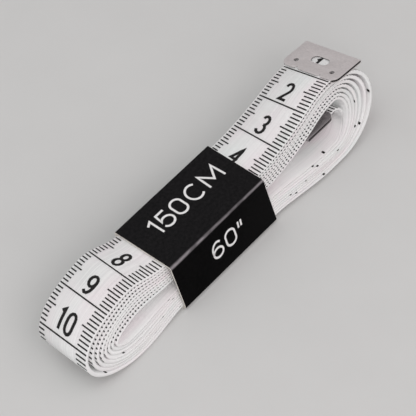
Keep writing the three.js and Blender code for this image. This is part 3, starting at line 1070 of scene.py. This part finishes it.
def black_ink():
    material, tree, shader = new_material("black_ink")
    grain = noise(tree, object_coordinates(tree), scale=4000, detail=2)
    wire(tree, ramp(tree, grain, [(0.3, (0.004, 0.004, 0.004)), (0.75, (0.016, 0.014, 0.014))]),
         shader.inputs["Base Color"])
    wire(tree, spread(tree, grain, 0.42, 0.62), shader.inputs["Roughness"])
    shader.inputs["Specular IOR Level"].default_value = 0.25
    return material


def white_ink():
    material, tree, shader = new_material("white_ink")
    grain = noise(tree, object_coordinates(tree), scale=2500)
    wire(tree, ramp(tree, grain, [(0.25, (0.70, 0.70, 0.70)), (0.6, (0.86, 0.86, 0.86))]),
         shader.inputs["Base Color"])
    wire(tree, spread(tree, grain, 0.45, 0.65), shader.inputs["Roughness"])
    return material


def fold_mask(tree, place, corner, reach):
    """1 on a fold of the card, falling to 0 at the reach, which narrows to the far end."""
    flat = stretch(tree, place, (0, 1, 1))
    node = add(tree, "ShaderNodeVectorMath", operation="DISTANCE")
    wire(tree, flat, node.inputs[0])
    node.inputs[1].default_value = (0, corner.y, corner.z)
    split = add(tree, "ShaderNodeSeparateXYZ")
    wire(tree, place, split.inputs[0])
    narrowing = add(tree, "ShaderNodeMapRange")
    narrowing.inputs["From Min"].default_value = HANK.x - SLEEVE_HALF
    narrowing.inputs["From Max"].default_value = HANK.x + SLEEVE_HALF
    narrowing.inputs["To Min"].default_value = WEAR_SHEEN_NEAR
    narrowing.inputs["To Max"].default_value = WEAR_SHEEN_FAR
    wire(tree, split.outputs["X"], narrowing.inputs["Value"])
    limits = add(tree, "ShaderNodeMapRange", interpolation_type="SMOOTHSTEP")
    limits.inputs["From Min"].default_value = reach
    limits.inputs["From Max"].default_value = reach * WEAR_SHEEN_CORE
    away = calc(tree, "MULTIPLY", node.outputs["Value"], narrowing.outputs[0])
    wire(tree, away, limits.inputs["Value"])
    return limits.outputs[0]


def black_card():
    """Matt coated card, rubbed grey along its folds, where the grey is also a painted highlight, and
    with its top panel painted lighter than its sides as painted sheen.
    """
    material, tree, shader = new_material("black_card")
    place = object_coordinates(tree)
    grain = noise(tree, place, scale=1300, detail=5, roughness=0.7)
    marks = handling(tree, place, size=90)
    # The front fold's band is lowered a little, to where the painted highlight falls
    front_fold = Vector((0, sleeve_front(SLEEVE_HEIGHT), SLEEVE_HEIGHT - WEAR_SHEEN_DROP)) + HANK
    back_fold = Vector((0, sleeve_back(SLEEVE_HEIGHT), SLEEVE_HEIGHT)) + HANK
    scuff_sheen_noise = noise(tree, stretch(tree, place, (0.3, 1, 1)), scale=700)
    patches = noise(tree, stretch(tree, place, (1, 0, 0)), scale=110, detail=1)
    rub_and_sheen = calc(tree, "MULTIPLY", spread(tree, scuff_sheen_noise, -0.45, 1.45), spread(tree, patches, 0.1, 1.9))
    front_wear_and_sheen = calc(tree, "MULTIPLY", fold_mask(tree, place, front_fold, FRONT_WEAR_SHEEN_REACH), rub_and_sheen)
    back_wear_and_sheen = calc(tree, "MULTIPLY", fold_mask(tree, place, back_fold, BACK_WEAR_SHEEN_REACH), rub_and_sheen)
    wear_and_sheen = calc(tree, "MULTIPLY_ADD", back_wear_and_sheen, WEAR_SHEEN_BACK_SHARE, front_wear_and_sheen)
    # Painted sheen: the same black card is painted lighter on the top panel than on the sides and
    # front, for the light falling from above
    side = ramp(tree, grain, [(0.36, (0.0006, 0.0006, 0.0007)), (0.68, (0.0028, 0.0026, 0.0028))])
    top = ramp(tree, grain, [(0.36, (0.0068, 0.0068, 0.0073)), (0.68, (0.0165, 0.0157, 0.0168))])
    split = add(tree, "ShaderNodeSeparateXYZ")
    wire(tree, place, split.inputs[0])
    up = add(tree, "ShaderNodeMapRange", interpolation_type="SMOOTHSTEP")
    up.inputs["From Min"].default_value = SLEEVE_HEIGHT + HANK.z - TOP_SHEEN_START
    up.inputs["From Max"].default_value = SLEEVE_HEIGHT + HANK.z - TOP_SHEEN_END
    wire(tree, split.outputs["Z"], up.inputs["Value"])
    base = blend_colors(tree, up.outputs[0], side, top)
    marked = blend_colors(tree, calc(tree, "MULTIPLY", marks, 0.25), base, (0.008, 0.0075, 0.008))
    # The pale colour of the fold bands: rubbed card and painted highlight together
    wire(tree, blend_colors(tree, wear_and_sheen, marked, (0.39, 0.36, 0.382)), shader.inputs["Base Color"])
    wire(tree, spread(tree, marks, 0.42, 0.56), shader.inputs["Roughness"])
    shader.inputs["Specular IOR Level"].default_value = 0.03
    bump(tree, shader, grain, strength=0.25, distance=0.02 * MM)
    return material


def card_core():
    material, tree, shader = new_material("card_core")
    fibre = noise(tree, stretch(tree, object_coordinates(tree), (1, 1, 3)), scale=2200, detail=4)
    wire(tree, ramp(tree, fibre, [(0.3, (0.62, 0.59, 0.54)), (0.7, (0.86, 0.83, 0.77))]),
         shader.inputs["Base Color"])
    shader.inputs["Roughness"].default_value = 0.9
    bump(tree, shader, fibre, strength=0.4, distance=0.03 * MM)
    return material


def satin_metal(name, dark, pale, dull):
    """Plated sheet metal with fine rolling lines and dull finger marks."""
    material, tree, shader = new_material(name)
    place = object_coordinates(tree)
    lines = noise(tree, stretch(tree, place, (1, 0.06, 1)), scale=5200, detail=2)
    marks = handling(tree, place, size=160)
    steel = ramp(tree, lines, [(0.3, dark), (0.7, pale)])
    wire(tree, blend_colors(tree, calc(tree, "MULTIPLY", marks, 0.3), steel, dull),
         shader.inputs["Base Color"])
    shader.inputs["Metallic"].default_value = 1
    rough = calc(tree, "MULTIPLY_ADD", marks, 0.12, spread(tree, lines, 0.38, 0.5))
    wire(tree, rough, shader.inputs["Roughness"])
    bump(tree, shader, lines, strength=0.12, distance=0.01 * MM)
    return material


def punched_metal():
    """Dark metal of painted shade in the punched dents and their holes, on the slot's cut walls and on
    the inner faces of the folded plates.
    """
    material, tree, shader = new_material("punched_metal")
    grain = noise(tree, object_coordinates(tree), scale=3500, detail=2)
    wire(tree, ramp(tree, grain, [(0.3, (0.15, 0.14, 0.14)), (0.7, (0.36, 0.34, 0.34))]),
         shader.inputs["Base Color"])
    shader.inputs["Metallic"].default_value = 1
    wire(tree, spread(tree, grain, 0.4, 0.6), shader.inputs["Roughness"])
    return material


def floor_paint():
    material, tree, shader = new_material("floor_paint")
    mottle = noise(tree, object_coordinates(tree), scale=60, detail=4)
    wire(tree, ramp(tree, mottle, [(0.3, (0.655, 0.658, 0.652)), (0.7, (0.67, 0.673, 0.667))]),
         shader.inputs["Base Color"])
    shader.inputs["Roughness"].default_value = 0.85
    return material


# Putting it together

tape_cloth = weave_tape()
tape_cloth.data.materials.append(coated_cloth())
centimetre_print = print_centimetres()
inch_print = print_inches()
tape_ink = black_ink()
for print_piece in (centimetre_print, inch_print):
    print_piece.data.materials.append(tape_ink)

sleeve_card = fold_sleeve(black_card(), card_core())

top_place = Matrix.Translation(HANK + Vector((0, TOP_WORDS_FOOT, SLEEVE_HEIGHT)))
front_up = Vector((0, SLEEVE_LEAN, 1)).normalized()
front_place = Matrix(
    (Vector((1, 0, 0)), front_up, Vector((1, 0, 0)).cross(front_up))
).transposed().to_4x4()
front_place.translation = HANK + Vector(
    (0, sleeve_front(FRONT_WORDS_FOOT), FRONT_WORDS_FOOT)
)
centimetre_words = letter("centimetre_words", TOP_WORDS, TOP_WORDS_HEIGHT, top_place)
inch_words = letter("inch_words", FRONT_WORDS, FRONT_WORDS_HEIGHT, front_place)
sleeve_ink = white_ink()
for words in (centimetre_words, inch_words):
    words.data.materials.append(sleeve_ink)

bright_plate = satin_metal(
    "bright_plate", dark=(0.72, 0.69, 0.69), pale=(0.85, 0.81, 0.81), dull=(0.61, 0.58, 0.58),
)
# The same steel as the outer clip, darkened as painted shade for the shadow the inner clip lies in
# within the far loop
dull_plate = satin_metal(
    "dull_plate", dark=(0.35, 0.33, 0.34), pale=(0.43, 0.4, 0.41), dull=(0.28, 0.26, 0.27),
)
outer_clip = fold_clip(bright_plate, punched_metal())
inner_clip = outer_clip.copy()
inner_clip.data = outer_clip.data.copy()
inner_clip.name = "inner_clip"
# The inner clip takes the painted-shade copy of the plate metal
inner_clip.data.materials[0] = dull_plate
bpy.context.scene.collection.objects.link(inner_clip)
seat_clip(outer_clip, -1, -END_STEPS, 1)
seat_clip(inner_clip, 0, END_STEPS - 1, -1)

for piece in (tape_cloth, centimetre_print, inch_print):
    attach(piece, "tape")
for piece in (outer_clip, inner_clip):
    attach(piece, "tape")
for piece in (sleeve_card, centimetre_words, inch_words):
    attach(piece, "sleeve")
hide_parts("tape_ribbon")
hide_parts("card_sleeve")
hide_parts("outer_end_clip")
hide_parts("inner_end_clip")

# Floor and soft studio light

FLOOR_SIZE = 4
WORLD_STRENGTH = 0.54
LAMP_DISTANCE = 0.6

deselect()
bpy.ops.mesh.primitive_plane_add(size=FLOOR_SIZE)
floor = begun("floor", floor_paint())
deselect()

world = bpy.data.worlds.new("soft_room")
world.use_nodes = True
world.node_tree.nodes["Background"].inputs["Color"].default_value = (1.0, 0.96, 0.96, 1)
world.node_tree.nodes["Background"].inputs["Strength"].default_value = WORLD_STRENGTH
bpy.context.scene.world = world


def softbox(name, way, size, power, color):
    """A soft area lamp that looks at the hank from one way off."""
    data = bpy.data.lights.new(name, "AREA")
    data.shape = "RECTANGLE"
    data.size, data.size_y = size
    data.energy = power
    data.color = color
    lamp = bpy.data.objects.new(name, data)
    bpy.context.scene.collection.objects.link(lamp)
    way = Vector(way).normalized()
    lamp.location = HANK + way * LAMP_DISTANCE
    lamp.rotation_mode = "QUATERNION"
    lamp.rotation_quaternion = (-way).to_track_quat("-Z", "Y")


softbox(
    "top_light", way=(-0.25, 0.35, 0.9), size=(0.5, 0.5), power=0.58, color=(0.9, 1.0, 0.99),
)
softbox(
    "side_light", way=(0.49, -0.38, 0.77), size=(0.4, 0.5), power=0.3, color=(1.0, 0.96, 0.96),
)
softbox(
    "front_light", way=(-0.4, -0.68, 0.6), size=(0.6, 0.45), power=1.12, color=(1.0, 0.96, 0.96),
)

bpy.context.scene.view_settings.view_transform = "Standard"
